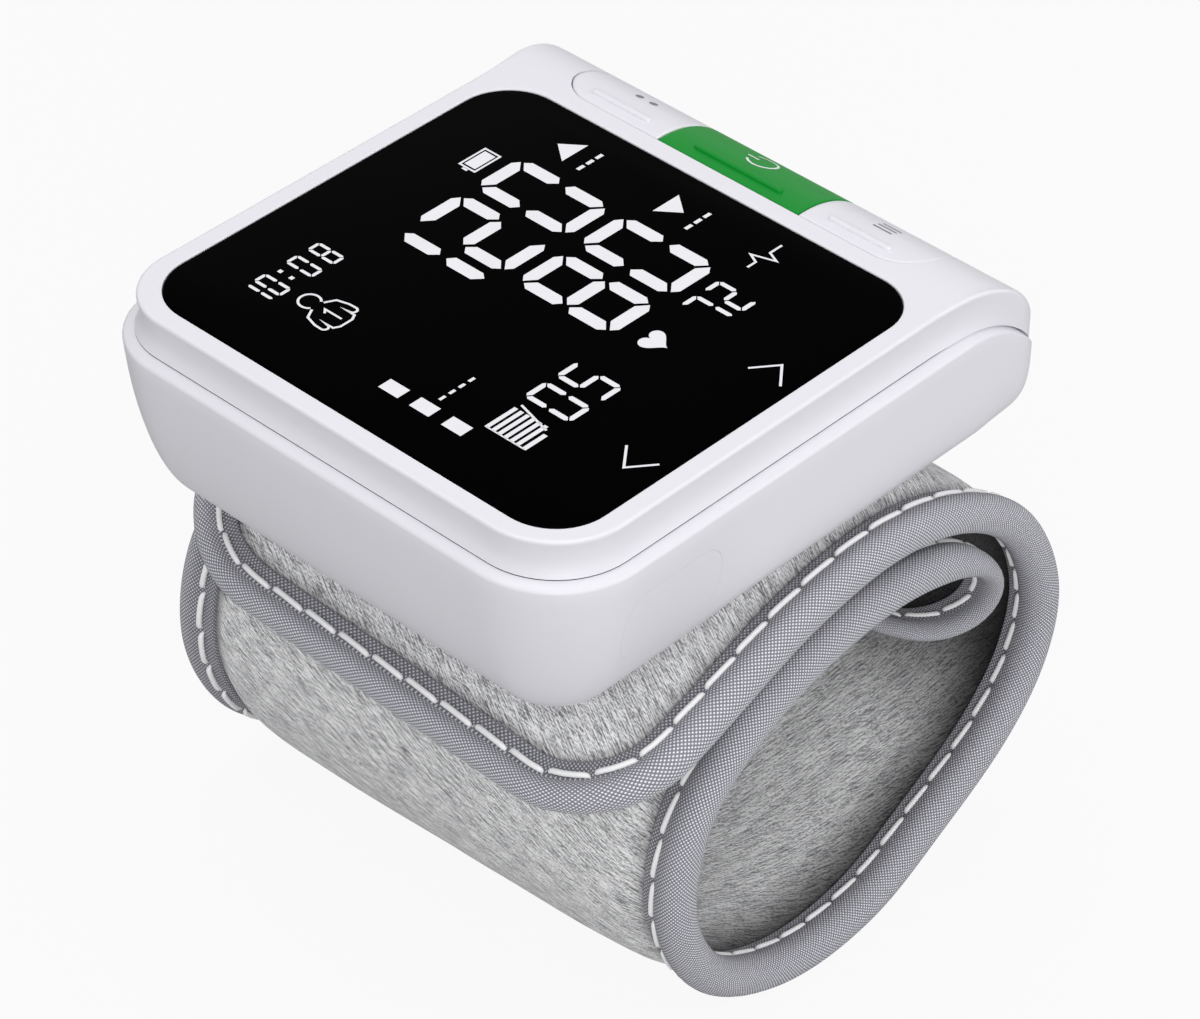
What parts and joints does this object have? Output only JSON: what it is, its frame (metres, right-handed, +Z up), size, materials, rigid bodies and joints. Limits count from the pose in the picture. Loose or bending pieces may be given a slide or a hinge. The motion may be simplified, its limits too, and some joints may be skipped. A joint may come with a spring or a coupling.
{
  "type": "wrist blood pressure monitor",
  "caption": "Home wrist monitor: a rounded housing with a black display and shoulder buttons on a padded cuff that is coiled under it.",
  "frame": {"origin": "on the surface it stands on, under the middle of its box", "axes": "+Z up from the bottom of the cuff to the display, +X towards the button side, +Y towards the top of the display; the wrist goes through along Y"},
  "size_m": [0.084, 0.0782, 0.0837],
  "materials": {
    "white_plastic": "satin, very pale lavender white",
    "green_plastic": "satin green",
    "black_window": "gloss black acrylic",
    "grey_fabric": "heather grey brushed knit",
    "binding_tape": "mid grey woven tape",
    "curler_plastic": "thin flexible sheet",
    "bladder_film": "thin soft film",
    "circuit_board": "green board",
    "steel": "plain steel",
    "black_plastic": "black moulded",
    "soft_silicone": "pale soft silicone",
    "battery_wrap": "blue-grey film",
    "hook_tape": "black hook tape"
  },
  "bodies": {
    "housing": {"top_cover": "white_plastic", "display_window": "black_window", "memory_switch": "black_plastic", "start_switch": "black_plastic", "user_switch": "black_plastic", "button_board": "circuit_board", "lower_housing": "white_plastic", "housing_screw_1": "steel", "housing_screw_2": "steel", "housing_screw_3": "steel", "housing_screw_4": "steel", "display_module": "black_plastic", "main_board": "circuit_board", "charge_board": "circuit_board", "charging_socket": "steel", "battery": "battery_wrap", "pressure_sensor": "black_plastic", "buzzer": "black_plastic", "pump_motor": "steel", "pump_head": "white_plastic", "release_valve": "black_plastic", "air_tube": "soft_silicone", "cuff_top_outer_fabric": "grey_fabric", "cuff_top_curler": "curler_plastic", "cuff_top_bladder": "bladder_film", "cuff_top_inner_fabric": "grey_fabric", "cuff_top_front_binding": "binding_tape", "cuff_top_back_binding": "binding_tape", "cuff_top_end_binding": "binding_tape", "cuff_saddle": "white_plastic", "saddle_screw_1": "steel", "saddle_screw_2": "steel", "air_nipple": "soft_silicone"},
    "memory_button": {"memory_button": "white_plastic"},
    "start_button": {"start_button": "green_plastic"},
    "user_button": {"user_button": "white_plastic"},
    "port_cover": {"port_cover": "soft_silicone"},
    "cuff_loop": {"cuff_loop_outer_fabric": "grey_fabric", "cuff_loop_curler": "curler_plastic", "cuff_loop_bladder": "bladder_film", "cuff_loop_inner_fabric": "grey_fabric", "cuff_loop_front_binding": "binding_tape", "cuff_loop_back_binding": "binding_tape", "cuff_loop_end_binding": "binding_tape", "hook_pad": "hook_tape"}
  },
  "joints": [
    {"name": "memory_press", "type": "slide", "parent": "housing", "child": "memory_button", "axis": [0, 0, -1], "range_m": [0, 0.0005], "stiffness_N_per_m": 2000},
    {"name": "start_press", "type": "slide", "parent": "housing", "child": "start_button", "axis": [0, 0, -1], "range_m": [0, 0.0005], "stiffness_N_per_m": 2000},
    {"name": "user_press", "type": "slide", "parent": "housing", "child": "user_button", "axis": [0, 0, -1], "range_m": [0, 0.0005], "stiffness_N_per_m": 2000},
    {"name": "port_cover_open", "type": "hinge", "parent": "housing", "child": "port_cover", "pos_m": [-0.0235, -0.0347, 0.064], "axis": [1, 0, 0], "range_deg": [0, 90]},
    {"name": "cuff_open", "type": "hinge", "parent": "housing", "child": "cuff_loop", "pos_m": [0.04204, 0, 0.03074], "axis": [0, -1, 0], "range_deg": [0, 40], "stiffness_Nm_per_rad": 0.1, "springref_deg": -20.05}
  ]
}
